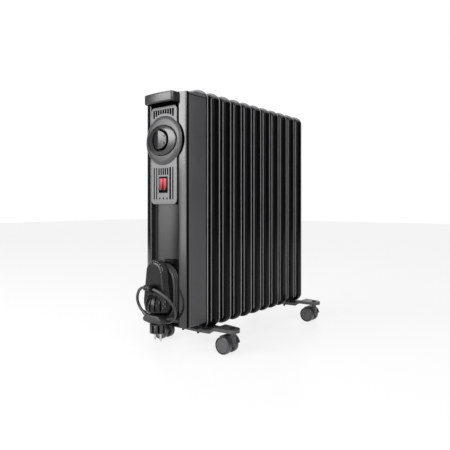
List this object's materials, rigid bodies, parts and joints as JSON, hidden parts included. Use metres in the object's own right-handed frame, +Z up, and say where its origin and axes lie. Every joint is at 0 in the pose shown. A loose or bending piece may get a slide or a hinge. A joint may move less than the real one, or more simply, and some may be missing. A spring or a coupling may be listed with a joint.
{
  "type": "oil filled radiator heater",
  "caption": "Free-standing oil filled radiator with pressed fins, an end housing with dial and rocker switches, a cord winder with wound cord and plug, and two feet on swivel casters.",
  "frame": {"origin": "centre of the object's box at floor level, measured without the cord, its tie and its plug", "axes": "+Z up, +X from the control end along the fins, +Y across the heater"},
  "size_m": [0.6145, 0.294, 0.657],
  "materials": {
    "fin_paint": "satin black",
    "housing_paint": "satin charcoal",
    "cover_paint": "satin charcoal",
    "shield_steel": "plain",
    "element_steel": "plain",
    "gasket_rubber": "plain",
    "plug_steel": "plain",
    "panel_plastic": "fine grain",
    "grip_plastic": "fine grain",
    "knob_plastic": "fine grain",
    "shaft_steel": "plain",
    "screw_steel": "plain",
    "thermostat_ceramic": "plain",
    "switch_plastic": "gloss",
    "rocker_red": "lit red",
    "wire_cover": "plain",
    "winder_plastic": "fine grain",
    "cord_rubber": "dull",
    "plug_plastic": "dull",
    "pin_metal": "bright",
    "foot_paint": "satin black",
    "bolt_steel": "zinc plated",
    "caster_plastic": "satin",
    "axle_steel": "plain",
    "wheel_plastic": "satin"
  },
  "bodies": {
    "heater": {"fin_01": "fin_paint", "fin_02": "fin_paint", "fin_03": "fin_paint", "fin_04": "fin_paint", "fin_05": "fin_paint", "fin_06": "fin_paint", "fin_07": "fin_paint", "fin_08": "fin_paint", "fin_09": "fin_paint", "fin_10": "fin_paint", "fin_11": "fin_paint", "heating_element": "element_steel", "element_gasket": "gasket_rubber", "oil_filler_plug": "plug_steel", "heat_shield": "shield_steel", "housing": "housing_paint", "front_cover": "cover_paint", "control_panel": "panel_plastic", "nose_grip": "grip_plastic", "dial_plate": "panel_plastic", "thermostat_body": "thermostat_ceramic", "thermostat_screws": "screw_steel", "switch_body": "switch_plastic", "thermal_cutout": "thermostat_ceramic", "terminal_block": "thermostat_ceramic", "inner_wires": "wire_cover", "cord_gland": "winder_plastic", "winder_hub": "winder_plastic", "winder_cover": "winder_plastic", "cord_winding": "cord_rubber", "cord_tail": "cord_rubber", "cord_tie": "winder_plastic", "plug_body": "plug_plastic", "plug_pins": "pin_metal", "housing_screws": "screw_steel", "front_foot": "foot_paint", "rear_foot": "foot_paint", "u_bolts": "bolt_steel", "wing_nuts": "bolt_steel", "caster_stems": "bolt_steel"},
    "knob": {"thermostat_knob": "knob_plastic", "thermostat_shaft": "shaft_steel"},
    "left_rocker": {"rocker_left": "rocker_red"},
    "right_rocker": {"rocker_right": "rocker_red"},
    "caster_fl": {"hood_fl": "caster_plastic", "axle_fl": "axle_steel"},
    "wheel_fl_a": {"wheel_fl_a": "wheel_plastic"},
    "wheel_fl_b": {"wheel_fl_b": "wheel_plastic"},
    "caster_fr": {"hood_fr": "caster_plastic", "axle_fr": "axle_steel"},
    "wheel_fr_a": {"wheel_fr_a": "wheel_plastic"},
    "wheel_fr_b": {"wheel_fr_b": "wheel_plastic"},
    "caster_rl": {"hood_rl": "caster_plastic", "axle_rl": "axle_steel"},
    "wheel_rl_a": {"wheel_rl_a": "wheel_plastic"},
    "wheel_rl_b": {"wheel_rl_b": "wheel_plastic"},
    "caster_rr": {"hood_rr": "caster_plastic", "axle_rr": "axle_steel"},
    "wheel_rr_a": {"wheel_rr_a": "wheel_plastic"},
    "wheel_rr_b": {"wheel_rr_b": "wheel_plastic"}
  },
  "joints": [
    {"name": "thermostat_turn", "type": "hinge", "parent": "heater", "child": "knob", "pos_m": [-0.27, 0, 0.526], "axis": [1, 0, 0], "range_deg": [-135, 135]},
    {"name": "left_rocker_tilt", "type": "hinge", "parent": "heater", "child": "left_rocker", "pos_m": [-0.2505, 0, 0.418], "axis": [0, 1, 0], "range_deg": [0, 16]},
    {"name": "right_rocker_tilt", "type": "hinge", "parent": "heater", "child": "right_rocker", "pos_m": [-0.2505, 0, 0.418], "axis": [0, 1, 0], "range_deg": [0, 16]},
    {"name": "swivel_fl", "type": "hinge", "parent": "heater", "child": "caster_fl", "pos_m": [-0.1465, 0.128, 0.05], "axis": [0, 0, 1], "continuous": true},
    {"name": "spin_fl_a", "type": "hinge", "parent": "caster_fl", "child": "wheel_fl_a", "pos_m": [-0.1465, 0.111, 0.022], "axis": [1, 0, 0], "continuous": true},
    {"name": "spin_fl_b", "type": "hinge", "parent": "caster_fl", "child": "wheel_fl_b", "pos_m": [-0.1465, 0.111, 0.022], "axis": [1, 0, 0], "continuous": true},
    {"name": "swivel_fr", "type": "hinge", "parent": "heater", "child": "caster_fr", "pos_m": [-0.1465, -0.128, 0.05], "axis": [0, 0, 1], "continuous": true},
    {"name": "spin_fr_a", "type": "hinge", "parent": "caster_fr", "child": "wheel_fr_a", "pos_m": [-0.1465, -0.111, 0.022], "axis": [1, 0, 0], "continuous": true},
    {"name": "spin_fr_b", "type": "hinge", "parent": "caster_fr", "child": "wheel_fr_b", "pos_m": [-0.1465, -0.111, 0.022], "axis": [1, 0, 0], "continuous": true},
    {"name": "swivel_rl", "type": "hinge", "parent": "heater", "child": "caster_rl", "pos_m": [0.2765, 0.128, 0.05], "axis": [0, 0, 1], "continuous": true},
    {"name": "spin_rl_a", "type": "hinge", "parent": "caster_rl", "child": "wheel_rl_a", "pos_m": [0.2765, 0.111, 0.022], "axis": [1, 0, 0], "continuous": true},
    {"name": "spin_rl_b", "type": "hinge", "parent": "caster_rl", "child": "wheel_rl_b", "pos_m": [0.2765, 0.111, 0.022], "axis": [1, 0, 0], "continuous": true},
    {"name": "swivel_rr", "type": "hinge", "parent": "heater", "child": "caster_rr", "pos_m": [0.2765, -0.128, 0.05], "axis": [0, 0, 1], "continuous": true},
    {"name": "spin_rr_a", "type": "hinge", "parent": "caster_rr", "child": "wheel_rr_a", "pos_m": [0.2765, -0.111, 0.022], "axis": [1, 0, 0], "continuous": true},
    {"name": "spin_rr_b", "type": "hinge", "parent": "caster_rr", "child": "wheel_rr_b", "pos_m": [0.2765, -0.111, 0.022], "axis": [1, 0, 0], "continuous": true}
  ]
}
